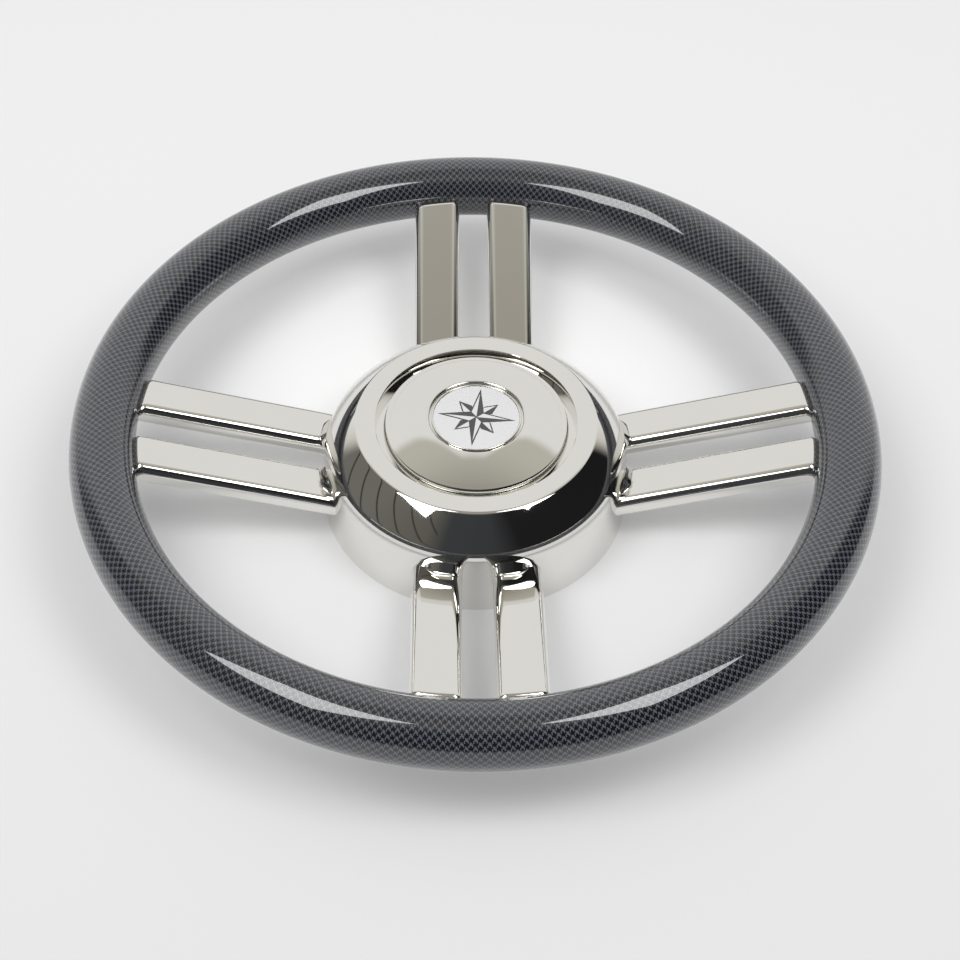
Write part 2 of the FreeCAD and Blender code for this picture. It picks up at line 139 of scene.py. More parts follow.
# Shader expressions
class Signal:
    """A socket's value that can stand in a sum, so that a pattern reads as an expression."""

    def __init__(self, shader, socket):
        self.shader = shader
        self.socket = socket

    def math(self, operation, *others):
        """A Math node with this value on its first socket."""
        return self.shader.node("ShaderNodeMath", {"operation": operation}, [self, *others])

    def step(self, low, high):
        """A soft step that is 0 where this value is at low and 1 where it is at high."""
        return self.shader.node("ShaderNodeMapRange", {"interpolation_type": "SMOOTHSTEP"}, {
            "Value": self, "From Min": low, "From Max": high, "To Min": 0.0, "To Max": 1.0,
        })

    def __add__(self, other):
        return self.math("ADD", other)

    def __sub__(self, other):
        return self.math("SUBTRACT", other)

    def __rsub__(self, other):
        return self.shader.node("ShaderNodeMath", {"operation": "SUBTRACT"}, [other, self])

    def __mul__(self, other):
        return self.math("MULTIPLY", other)

    def __truediv__(self, other):
        return self.math("DIVIDE", other)

    def __mod__(self, other):
        return self.math("FLOORED_MODULO", other)

    def __lt__(self, other):
        return self.math("LESS_THAN", other)

    __radd__ = __add__
    __rmul__ = __mul__


class Shader:
    """A material's or a world's nodes, written as expressions."""

    def __init__(self, block):
        self.block = block
        block.use_nodes = True
        self.tree = block.node_tree
        self.tree.nodes.clear()

    def node(self, kind, settings=None, inputs=(), output=0):
        """Add a node: its settings first, then its sockets by name or number, and return one output."""
        made = self.tree.nodes.new(kind)
        for name, value in (settings or {}).items():
            if name == "stops":
                ramp = made.color_ramp
                while len(ramp.elements) < len(value):
                    ramp.elements.new(0.5)
                for element, (place, shade) in zip(ramp.elements, value):
                    element.position = place
                    element.color = (*shade, 1.0)
                continue
            setattr(made, name, value)
        pairs = inputs.items() if isinstance(inputs, dict) else enumerate(inputs)
        for key, value in pairs:
            if isinstance(value, Signal):
                self.tree.links.new(value.socket, made.inputs[key])
            elif value is not None:
                target = made.inputs[key]
                wide = hasattr(value, "__len__") and len(value) == 3 and target.type == "RGBA"
                target.default_value = (*value, 1.0) if wide else value
        return Signal(self, made.outputs[output])

    def mix(self, share, low, high):
        """Blend two colours."""
        return self.node("ShaderNodeMix", {"data_type": "RGBA"}, {0: share, 6: low, 7: high}, output=2)

    def axes(self, vector):
        """The three parts of a vector."""
        parts = self.node("ShaderNodeSeparateXYZ", None, [vector])
        node = parts.socket.node
        return [Signal(self, node.outputs[place]) for place in range(3)]

    def place(self):
        """Object coordinates in metres."""
        return self.node("ShaderNodeTexCoord", output="Object")

    def ray(self, question):
        """1 for light rays of a kind, named as Light Path names it, and 0 for the others."""
        return self.node("ShaderNodeLightPath", output=question)

    def noise(self, vector, scale, detail=3.0):
        """Cloudy noise between 0 and 1."""
        return self.node("ShaderNodeTexNoise", None, {
            "Vector": vector, "Scale": scale, "Detail": detail, "Roughness": 0.5,
        })

    def bump(self, height, strength, distance):
        """A normal that follows a height."""
        return self.node("ShaderNodeBump", None, {
            "Strength": strength, "Distance": distance, "Height": height,
        })

    def finish(self, surface, output="ShaderNodeOutputMaterial"):
        """Join the surface to the output, and return the material or world."""
        last = self.tree.nodes.new(output)
        self.tree.links.new(surface.socket, last.inputs["Surface"])
        return self.block


def darker(tint, share):
    """A colour with each part scaled by a share."""
    return tuple(part * share for part in tint)


def polished_steel(name, tint, haze):
    """Mirror-polished stainless steel: faint buffing waves, and a haze that varies."""
    shader = Shader(bpy.data.materials.new(name))
    place = shader.place()
    cloud = shader.noise(place, 28.0)
    wave = shader.noise(place, 60.0, 2.0)
    surface = shader.node("ShaderNodeBsdfPrincipled", None, {
        "Base Color": shader.mix(cloud, darker(tint, 0.97), tint),
        "Metallic": 1.0,
        "Roughness": cloud * haze + 0.02,
        "Normal": shader.bump(wave, 0.04, 0.0003),
    })
    return shader.finish(surface)


def plain_metal(name, tint, rough, grain):
    """Machined or turned metal: fine rings of the tool round the axis."""
    shader = Shader(bpy.data.materials.new(name))
    x, y, z = shader.axes(shader.place())
    reach = (x * x + y * y).math("SQRT")
    rings = shader.node("ShaderNodeTexNoise", {"noise_dimensions": "1D"}, {
        "W": reach * grain + z * grain, "Scale": 1.0,
    })
    surface = shader.node("ShaderNodeBsdfPrincipled", None, {
        "Base Color": shader.mix(rings, darker(tint, 0.85), tint),
        "Metallic": 1.0,
        "Roughness": rings * 0.15 + rough,
        "Normal": shader.bump(rings, 0.15, 0.0002),
    })
    return shader.finish(surface)


def woven_lacquer(name, dark, light):
    """Clear lacquer over a printed weave of small hooks, read from the grip's own map.

    The map counts threads: eight to a repeat, five dark and three light, woven two over two.
    """
    shader = Shader(bpy.data.materials.new(name))
    across, along, _ = shader.axes(shader.node("ShaderNodeUVMap", {"uv_map": "threads"}))
    warp = (across + along).math("FLOOR")
    weft = (along - across).math("FLOOR")
    over = ((warp + weft) % TWILL) < TWILL / 2 - 0.5
    warp_light = (warp % REPEAT) < LIGHT_THREADS - 0.5
    weft_light = (weft % REPEAT) < LIGHT_THREADS - 0.5
    light_thread = over * warp_light + (1.0 - over) * weft_light
    place = shader.place()
    pale = shader.mix(shader.noise(place, 45.0), darker(light, 0.8), light)
    surface = shader.node("ShaderNodeBsdfPrincipled", None, {
        "Base Color": shader.mix(light_thread, dark, pale),
        "Roughness": 0.35,
        "Specular IOR Level": 0.15,
        "Coat Weight": 1.0,
        "Coat Roughness": 0.02,
        "Coat IOR": 1.75,
        "Normal": shader.bump(shader.noise(place, 90.0, 1.0), 0.03, 0.0003),
    })
    return shader.finish(surface)


def moulded(name, tint, rough, coat):
    """Painted or moulded face with a faint orange peel."""
    shader = Shader(bpy.data.materials.new(name))
    cloud = shader.noise(shader.place(), 300.0)
    surface = shader.node("ShaderNodeBsdfPrincipled", None, {
        "Base Color": shader.mix(cloud, darker(tint, 0.96), tint),
        "Roughness": cloud * 0.08 + rough,
        "Coat Weight": coat,
        "Normal": shader.bump(cloud, 0.03, 0.0001),
    })
    return shader.finish(surface)


def finish_of(name):
    """The named finish, made the first time it is asked for."""
    made = bpy.data.materials.get(name)
    if made:
        return made
    tints = bpy.context.scene.wheel_finishes
    recipe, *values = {
        "polished_steel": (polished_steel, tuple(tints.steel), 0.05),
        "turned_steel": (plain_metal, (0.55, 0.55, 0.56), 0.28, 9000.0),
        "cast_core": (plain_metal, (0.62, 0.62, 0.63), 0.4, 2500.0),
        "woven_lacquer": (woven_lacquer, tuple(tints.thread_dark), tuple(tints.thread_light)),
        "badge_face": (moulded, tuple(tints.badge), 0.3, 0.4),
        "badge_ink": (moulded, tuple(tints.ink), 0.35, 0.3),
        "seal_rubber": (moulded, (0.02, 0.02, 0.02), 0.6, 0.0),
    }[name]
    return recipe(name, *values)


# Modelling helpers
def within(value, low, high):
    """A value held between two limits."""
    return min(max(value, low), high)


def dip(along, radius):
    """How far a round of a radius has fallen at a distance along from its top."""
    return radius - math.sqrt(radius ** 2 - along ** 2)


def vertices(made):
    """The vertices among what an operator made."""
    return [item for item in made if isinstance(item, bmesh.types.BMVert)]


class Outline:
    """A pen that draws in the XZ plane with bmesh operators: straight runs and arcs, in millimetres."""

    def __init__(self, x, z):
        self.mesh = bmesh.new()
        self.tip = self.mesh.verts.new((x * MM, 0.0, z * MM))
        self.first = self.tip

    def to(self, *points):
        """Draw straight on to each point in turn."""
        for x, z in points:
            made = bmesh.ops.extrude_vert_indiv(self.mesh, verts=[self.tip])
            self.tip = made["verts"][0]
            self.tip.co = (x * MM, 0.0, z * MM)

    def arc(self, centre_x, centre_z, degrees, steps):
        """Turn on about a centre. Positive degrees turn from +X towards +Z."""
        made = bmesh.ops.spin(
            self.mesh,
            geom=[self.tip],
            cent=(centre_x * MM, 0.0, centre_z * MM),
            axis=(0.0, -1.0, 0.0),
            angle=math.radians(degrees),
            steps=steps,
            use_duplicate=False,
        )
        self.tip = vertices(made["geom_last"])[0]

    def close(self):
        self.mesh.edges.new((self.tip, self.first))


def spun(mesh, steps):
    """Spin a section round the Z axis."""
    bmesh.ops.spin(
        mesh,
        geom=mesh.verts[:] + mesh.edges[:],
        cent=(0.0, 0.0, 0.0),
        axis=(0.0, 0.0, 1.0),
        angle=math.tau,
        steps=steps,
        use_merge=True,
    )
    bmesh.ops.remove_doubles(mesh, verts=mesh.verts[:], dist=MERGE)
    bmesh.ops.recalc_face_normals(mesh, faces=mesh.faces[:])
    return mesh


def soften(mesh, reach, height, radius, segments):
    """Bevel the edges that run round the axis at a reach and height, all in millimetres."""
    slack = 2e-5

    def near(vert):
        return abs(vert.co.xy.length - reach * MM) < slack and abs(vert.co.z - height * MM) < slack

    bmesh.ops.bevel(
        mesh,
        geom=[edge for edge in mesh.edges if near(edge.verts[0]) and near(edge.verts[1])],
        offset=radius * MM,
        segments=segments,
        affect="EDGES",
        profile=0.5,
        material=-1,
        clamp_overlap=False,
    )


def piece(mesh, name, finish, body, stands_for=(), sharp=30.0):
    """Turn a bmesh into a finished piece that rides on a body."""
    data = bpy.data.meshes.new(name)
    mesh.to_mesh(data)
    mesh.free()
    data.shade_smooth()
    data.set_sharp_from_angle(angle=math.radians(sharp))
    made = bpy.data.objects.new(name, data)
    bpy.context.scene.collection.objects.link(made)
    data.materials.append(finish_of(finish))
    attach(made, body)
    if stands_for:
        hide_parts(*stands_for)


# Operators: one for each piece or group of like pieces
class WHEEL_OT_grip(bpy.types.Operator):
    """Lacquered grip: a full tube round the rim with a map that counts threads"""

    bl_idname = "wheel.grip"
    bl_label = "Grip"

    def execute(self, context):
        sizes = context.scene.wheel_sizes
        mesh = bmesh.new()
        upright = Matrix.Rotation(math.pi / 2, 4, "X")
        place = Matrix.Translation((sizes.rim_radius, 0.0, RIM_HEIGHT)) @ upright
        bmesh.ops.create_circle(mesh, segments=TUBE_STEPS, radius=sizes.tube_radius, matrix=place)
        spun(mesh, RIM_STEPS)
        self.count_threads(mesh, sizes)
        piece(mesh, "grip_tube", "woven_lacquer", "wheel", ["rim_grip"], 32.0)
        return {"FINISHED"}

    def count_threads(self, mesh, sizes):
        """Map the tube in threads: round it on one axis, along the rim on the other."""
        threads = mesh.loops.layers.uv.new("threads")
        round_count = REPEAT * round(math.tau * sizes.tube_radius / sizes.weave)
        along_count = REPEAT * round(math.tau * sizes.rim_radius / sizes.weave)
        for face in mesh.faces:
            middle = self.turns(face.calc_center_median(), sizes.rim_radius)
            for loop in face.loops:
                round_turn, along_turn = (
                    turn + math.tau * round((centre - turn) / math.tau)
                    for turn, centre in zip(self.turns(loop.vert.co, sizes.rim_radius), middle)
                )
                loop[threads].uv = (
                    round_turn / math.tau * round_count,
                    along_turn / math.tau * along_count,
                )

    def turns(self, spot, rim_radius):
        """Where a spot of the tube lies, as a turn round the tube and one along the rim."""
        round_turn = math.atan2(spot.z - RIM_HEIGHT, spot.xy.length - rim_radius)
        return round_turn, math.atan2(spot.y, spot.x)


class WHEEL_OT_forks(bpy.types.Operator):
    """Forked spokes: four pairs of polished bars with raised roots"""

    bl_idname = "wheel.forks"
    bl_label = "Forked spokes"

    # Sizes in millimetres. A reach counts from the wheel's axis, a height from its back face.
    SLOPE = math.radians(15.4)
    ROOT_REACH = 59.0
    TIP_REACH = 147.0
    TIP_HEIGHT = 42.0

    # Steps outwards, short where the collar and the rounded end curve
    STEPS = [0.6] * 5 + [0.25] * 30 + [1.0] * 6 + [4.0] * 4 + [8.0] * 6 + [1.0] * 4 + [0.4] * 12 + [6.2]

    # Steps of the section's roundings, above and below, and runs across its flat top
    TOP_STEPS = 12
    LOW_STEPS = 6
    TOP_RUNS = 20

    # The mesh runs straight across the bar between these reaches, and round the axis near both ends
    STRAIGHT_FROM = 90.0
    STRAIGHT_TO = 124.0
    HUB_BLEND = 18.0
    RIM_BLEND = 15.0

    # The slot's round end at the root, and the least distance of a bar from the fork's middle
    SLOT_END = 70.0
    SLOT_ROUND = 13.0
    HALF_GAP = 0.3

    # The rounded end at the grip
    END_REACH = 143.7
    END_ROUND = 3.6
    END_LENGTH = 3.5

    # How far under the upper rounding a bar still follows the collar and the rounded end
    FOLLOW = 2.0

    # The collar round the hub's wall: its top, where it falls off outwards, how round and how steep
    COLLAR_TOP = 29.9
    COLLAR_REACH = 64.6
    CREST_ROUND = 1.6
    RAMP = math.radians(47.0)
    COLLAR_OUTER_SIDE, OUTER_ROUND = 15.9, 7.0
    COLLAR_INNER_SIDE, INNER_ROUND = 11.6, 5.0

    # Past this share of its radius, a side of the collar goes on as a straight fall of this slope
    SIDE_SHARE = 0.97
    SIDE_FALL = 4.0

    def execute(self, context):
        sizes = context.scene.wheel_sizes
        for quarter, label in enumerate(("right", "back", "left", "front")):
            first = self.bar(sizes)
            second = first.copy()
            bmesh.ops.scale(second, vec=(1.0, -1.0, 1.0), verts=second.verts[:])
            bmesh.ops.reverse_faces(second, faces=second.faces[:])
            turn = Matrix.Rotation(math.pi / 2 * quarter, 4, "Z")
            for mesh, letter, stands_for in ((first, "a", ["spoke_" + label]), (second, "b", [])):
                bmesh.ops.transform(mesh, matrix=turn, verts=mesh.verts[:])
                name = "bar_%s_%s" % (label, letter)
                piece(mesh, name, "polished_steel", "wheel", stands_for, 40.0)
        return {"FINISHED"}

    def bar(self, sizes):
        """One bar of the right-hand fork, on its +Y side: a section drawn out along X, then shaped."""
        width, thick = sizes.bar_width / MM, sizes.bar_thickness / MM
        inside = sizes.bar_gap / MM / 2
        top_round, low_round = sizes.bar_top_round / MM, sizes.bar_bottom_round / MM
        mesh = self.section(inside, width, thick, top_round, low_round)
        self.draw_out(mesh)
        stretch = 1 / math.cos(self.SLOPE)
        up = thick / 2
        for vert in mesh.verts:
            reach, across, rise = vert.co / MM
            straight = self.bent(reach, across)
            centre = self.TIP_HEIGHT + (straight - self.TIP_REACH) * math.tan(self.SLOPE)
            top = centre + up * stretch
            over = within(reach - self.END_REACH, 0.0, self.END_LENGTH)
            lift = self.swell(top, self.collar(reach, across)) - top - dip(over, self.END_ROUND)
            depth = top_round + self.FOLLOW
            share = within((rise - up + depth) / depth, 0.0, 1.0)
            height = centre + rise * stretch + lift * share
            short = within(self.SLOT_END - straight, 0.0, self.SLOT_ROUND - 0.1)
            across -= dip(short, self.SLOT_ROUND) * (1.0 - (across - inside) / width)
            vert.co = (straight * MM, max(across, self.HALF_GAP) * MM, height * MM)
        bmesh.ops.recalc_face_normals(mesh, faces=mesh.faces[:])
        return mesh

    def section(self, left, width, thick, top_round, low_round):
        """The bar's section in the YZ plane at the root, its flat top in short runs."""
        right = left + width
        up, down = thick / 2, -thick / 2
        drawn = Outline(left + low_round, down)
        drawn.to((right - low_round, down))
        drawn.arc(right - low_round, down + low_round, 90.0, self.LOW_STEPS)
        drawn.to((right, up - top_round))
        drawn.arc(right - top_round, up - top_round, 90.0, self.TOP_STEPS)
        for run in range(self.TOP_RUNS - 1, 0, -1):
            drawn.to((left + top_round + run / self.TOP_RUNS * (width - 2 * top_round), up))
        drawn.to((left + top_round, up))
        drawn.arc(left + top_round, up - top_round, 90.0, self.TOP_STEPS)
        drawn.to((left, down + low_round))
        drawn.arc(left + low_round, down + low_round, 90.0, self.LOW_STEPS)
        mesh = drawn.mesh
        bmesh.ops.remove_doubles(mesh, verts=mesh.verts[:], dist=MERGE)
        quarter = Matrix.Rotation(math.pi / 2, 3, "Z")
        bmesh.ops.rotate(mesh, verts=mesh.verts[:], cent=(0.0, 0.0, 0.0), matrix=quarter)
        bmesh.ops.translate(mesh, verts=mesh.verts[:], vec=(self.ROOT_REACH * MM, 0.0, 0.0))
        return mesh

    def draw_out(self, mesh):
        """Draw a section out along X and close both ends."""
        front = mesh.edges[:]
        for step in self.STEPS:
            made = bmesh.ops.extrude_edge_only(mesh, edges=front)["geom"]
            front = [item for item in made if isinstance(item, bmesh.types.BMEdge)]
            bmesh.ops.translate(mesh, verts=vertices(made), vec=(step * MM, 0.0, 0.0))
        bmesh.ops.holes_fill(mesh, edges=mesh.edges[:], sides=0)

    def bent(self, reach, across):
        """Distance along X of a spot of the bar, on a circle round the axis near the hub and the rim."""
        near_hub = (self.STRAIGHT_FROM - reach) / self.HUB_BLEND
        near_rim = (reach - self.STRAIGHT_TO) / self.RIM_BLEND
        near_end = within(max(near_hub, near_rim), 0.0, 1.0)
        turned = math.sqrt(reach ** 2 - across ** 2)
        return reach + (turned - reach) * near_end ** 2 * (3.0 - 2.0 * near_end)

    def collar(self, reach, across):
        """Height of the collar round the hub's wall, which falls off in a ramp and to both sides."""
        away = max(reach - self.COLLAR_REACH, 0.0)
        turned = self.CREST_ROUND * math.sin(self.RAMP)
        if away < turned:
            drop = dip(away, self.CREST_ROUND)
        else:
            drop = self.CREST_ROUND * (1.0 - math.cos(self.RAMP)) + (away - turned) * math.tan(self.RAMP)
        for beside, side in (
            (across - self.COLLAR_OUTER_SIDE, self.OUTER_ROUND),
            (self.COLLAR_INNER_SIDE - across, self.INNER_ROUND),
        ):
            if beside > self.SIDE_SHARE * side:
                drop += side + self.SIDE_FALL * (beside - self.SIDE_SHARE * side)
            elif beside > 0.0:
                drop += dip(beside, side)
        return self.COLLAR_TOP - drop

    def swell(self, low, high, blend=0.7):
        """The greater of two heights, with a soft turn between them."""
        apart = max(blend - abs(low - high), 0.0) / blend
        return max(low, high) + apart ** 2 * blend / 4


class WHEEL_OT_shell(bpy.types.Operator):
    """Hub shell: a spun skin with a ring on top, a groove and a floor under the cap"""

    bl_idname = "wheel.shell"
    bl_label = "Hub shell"

    # The shoulder's centre and turn, the dome's radius and turn, and the groove, in millimetres and degrees
    SHOULDER_REACH = 53.57
    SHOULDER_HEIGHT = 26.7
    SHOULDER_TURN = 39.5
    DOME = 62.6
    DOME_TURN = 14.5
    ARC_STEPS = 14
    GROOVE_REACH = 43.8
    GROOVE_FLOOR = 41.0
    RING_RISE = 0.4

    # Reaches and heights of the skin's straight parts, outside from the bottom up and inside down again
    MOUTH = (67.5, 0.0)
    SKIRT = ((67.2, 8.6), (66.9, 17.2), (66.57, SHOULDER_HEIGHT))
    NECK = ((28.0, GROOVE_FLOOR), (28.0, 32.0), (29.6, 32.0), (29.6, 39.4), (45.4, 39.4), (45.4, 43.4))
    INSIDE = ((50.6, 43.2), (62.0, 32.6), (64.9, SHOULDER_HEIGHT), (65.9, 0.0))

    def execute(self, context):
        drawn = Outline(*self.MOUTH)
        drawn.to(*self.SKIRT)
        drawn.arc(self.SHOULDER_REACH, self.SHOULDER_HEIGHT, self.SHOULDER_TURN, self.ARC_STEPS)
        tip = drawn.tip.co / MM
        start = math.radians(90.0 - self.SHOULDER_TURN)
        dome_reach = tip.x - self.DOME * math.sin(start)
        dome_height = tip.z - self.DOME * math.cos(start)
        drawn.arc(dome_reach, dome_height, self.DOME_TURN, self.ARC_STEPS)
        ring = drawn.tip.co / MM
        groove_height = ring.z + self.RING_RISE
        drawn.to((self.GROOVE_REACH, groove_height), (self.GROOVE_REACH, self.GROOVE_FLOOR))
        drawn.to(*self.NECK, *self.INSIDE)
        drawn.close()
        mesh = spun(drawn.mesh, HUB_STEPS)
        soften(mesh, self.GROOVE_REACH, groove_height, 0.35, 3)
        soften(mesh, ring.x, ring.z, 0.5, 3)
        piece(mesh, "shell_skin", "polished_steel", "wheel", ["hub_shell"])
        return {"FINISHED"}


class WHEEL_OT_cap(bpy.types.Operator):
    """Centre cap: a crowned cover with a recess for the badge and a spigot below"""

    bl_idname = "wheel.cap"
    bl_label = "Centre cap"

    # Sizes in millimetres
    RADIUS = 40.3
    LOW = 41.0
    CROWN_STEPS = 20
    RECESS_RADIUS = 20.4
    RECESS_TOP = 49.2
    SPIGOT_RADIUS = 27.7
    SPIGOT_LOW = 33.5
    UNDERSIDE = 44.0

    # Reaches and heights of the recess's floor, the spigot with its groove, and the cap's inner side
    RECESS = ((RECESS_RADIUS, 47.0), (0.0, 47.0), (0.0, UNDERSIDE))
    SPIGOT = (
        (23.9, UNDERSIDE),
        (23.9, SPIGOT_LOW),
        (SPIGOT_RADIUS, SPIGOT_LOW),
        (SPIGOT_RADIUS, 34.4),
        (25.6, 34.4),
        (25.6, 36.8),
        (SPIGOT_RADIUS, 36.8),
        (SPIGOT_RADIUS, UNDERSIDE),
    )
    INSIDE = ((38.7, UNDERSIDE), (38.7, LOW))

    def execute(self, context):
        crown = context.scene.wheel_sizes.cap_crown / MM
        centre = self.RECESS_TOP - math.sqrt(crown ** 2 - self.RECESS_RADIUS ** 2)
        edge = centre + math.sqrt(crown ** 2 - self.RADIUS ** 2)
        sweep = math.asin(self.RADIUS / crown) - math.asin(self.RECESS_RADIUS / crown)
        drawn = Outline(self.RADIUS, self.LOW)
        drawn.to((self.RADIUS, edge))
        drawn.arc(0.0, centre, math.degrees(sweep), self.CROWN_STEPS)
        drawn.to(*self.RECESS, *self.SPIGOT, *self.INSIDE)
        drawn.close()
        mesh = spun(drawn.mesh, HUB_STEPS)
        soften(mesh, self.RADIUS, edge, 3.4, 12)
        soften(mesh, self.RECESS_RADIUS, self.RECESS_TOP, 1.3, 8)
        soften(mesh, self.SPIGOT_RADIUS, self.SPIGOT_LOW, 0.5, 2)
        piece(mesh, "cap_cover", "polished_steel", "cap", ["center_cap"])
        return {"FINISHED"}


class WHEEL_OT_badge(bpy.types.Operator):
    """Badge: a light disc in a thin polished ring, with an eight-pointed compass rose"""

    bl_idname = "wheel.badge"
    bl_label = "Badge"

    # Heights and reaches in millimetres
    SEAT = 47.0
    PLATE_RADIUS, PLATE_TOP = 18.7, 48.5
    RING_INSIDE, RING_OUTSIDE, RING_TOP = 18.72, 19.6, 48.8

    # Turn of the rose's first long point in degrees, the rose's thickness, and the light halves' step up
    ROSE_TURN = 82.7
    ROSE_THICKNESS = 0.12
    LIGHT_STEP = 0.02

    # Dark line beside a light half: its share of the rose's reach, and the inner line's share of it
    LINE = 0.035
    FINE_LINE = 0.4

    # The short points, then the long ones: their turn, the turn from tip to waist, the shares of the
    # rose's reach at tip and waist, and the height over the disc in millimetres
    POINTS = ((45.0, 22.5, 0.717, 0.42, 0.03), (0.0, 45.0, 1.0, 0.245, 0.07))

    def execute(self, context):
        mesh = self.flat_ring(0.0, self.PLATE_RADIUS, self.PLATE_TOP)
        soften(mesh, self.PLATE_RADIUS, self.PLATE_TOP, 0.25, 3)
        piece(mesh, "badge_plate", "badge_face", "cap", ["badge_disc"])
        mesh = self.flat_ring(self.RING_INSIDE, self.RING_OUTSIDE, self.RING_TOP)
        soften(mesh, self.RING_OUTSIDE, self.RING_TOP, 0.35, 4)
        soften(mesh, self.RING_INSIDE, self.RING_TOP, 0.35, 4)
        piece(mesh, "badge_ring", "polished_steel", "cap", ["badge_bezel"])
        self.rose(context.scene.wheel_sizes.rose_radius)
        return {"FINISHED"}

    def flat_ring(self, inside, outside, top):
        """A disc or ring of square section that stands on the recess's floor."""
        drawn = Outline(inside, self.SEAT)
        drawn.to((outside, self.SEAT), (outside, top), (inside, top))
        drawn.close()
        return spun(drawn.mesh, BADGE_STEPS)

    def rose(self, reach):
        """A compass rose: four long points over four short ones, each half dark and half light."""
        ink, light = bmesh.new(), bmesh.new()
        line = self.LINE * reach
        for start, near, tip, waist, rise in self.POINTS:
            height = BADGE_TOP + rise * MM
            light_height = height + self.LIGHT_STEP * MM
            for quarter in range(4):
                turn = 90.0 * quarter + start + self.ROSE_TURN
                self.half(ink, turn, turn - near, reach * tip, reach * waist, 0.0, height)
                self.half(ink, turn, turn + near, reach * tip, reach * waist, 0.0, height)
                self.half(light, turn, turn + near, reach * tip, reach * waist, line, light_height)
        for name, mesh, finish in (
            ("rose_dark", ink, "badge_ink"),
            ("rose_light", light, "badge_face"),
        ):
            made = bmesh.ops.extrude_face_region(mesh, geom=mesh.faces[:])
            lower = vertices(made["geom"])
            bmesh.ops.translate(mesh, verts=lower, vec=(0.0, 0.0, -self.ROSE_THICKNESS * MM))
            bmesh.ops.recalc_face_normals(mesh, faces=mesh.faces[:])
            piece(mesh, name, finish, "cap", [], 10.0)

    def half(self, mesh, turn, near, tip, waist, line, height):
        """Half a point of the rose: from the middle to the tip and out to the waist.

        A light half is drawn in by a line's width along its outer side, by less on the inner one, and
        not on the ridge.
        """
        def spot(degrees, radius):
            bearing = math.radians(degrees)
            return Vector((math.cos(bearing) * radius, math.sin(bearing) * radius, height))

        corners = [spot(0.0, 0.0), spot(turn, tip), spot(near, waist)]
        if line:
            fine = self.FINE_LINE * line
            ridge = (corners[1] - corners[0]).normalized()
            outer = (corners[2] - corners[1]).normalized()
            inner = (corners[0] - corners[2]).normalized()
            waist_sine = inner.cross(outer).length
            corners = [
                corners[0] + ridge * (fine / ridge.cross(inner).length),
                corners[1] - ridge * (line / ridge.cross(outer).length),
                corners[2] + inner * (line / waist_sine) - outer * (fine / waist_sine),
            ]
        face = mesh.faces.new([mesh.verts.new(corner) for corner in corners])
        face.normal_update()
        if face.normal.z < 0:
            face.normal_flip()


class WHEEL_OT_carried(bpy.types.Operator):
    """Finishes of the model's own pieces that stay as they are"""

    bl_idname = "wheel.carried"
    bl_label = "Carried pieces"

    FINISHES = {
        "rim_core": "turned_steel",
        "hub_core": "cast_core",
        "back_plate": "turned_steel",
        "cap_ring": "seal_rubber",
        "fork_screws": "turned_steel",
        "shell_screws": "turned_steel",
        "plate_screws": "turned_steel",
    }

    def execute(self, context):
        for node, finish in self.FINISHES.items():
            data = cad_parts[node].data
            data.materials.clear()
            data.materials.append(finish_of(finish))
        return {"FINISHED"}


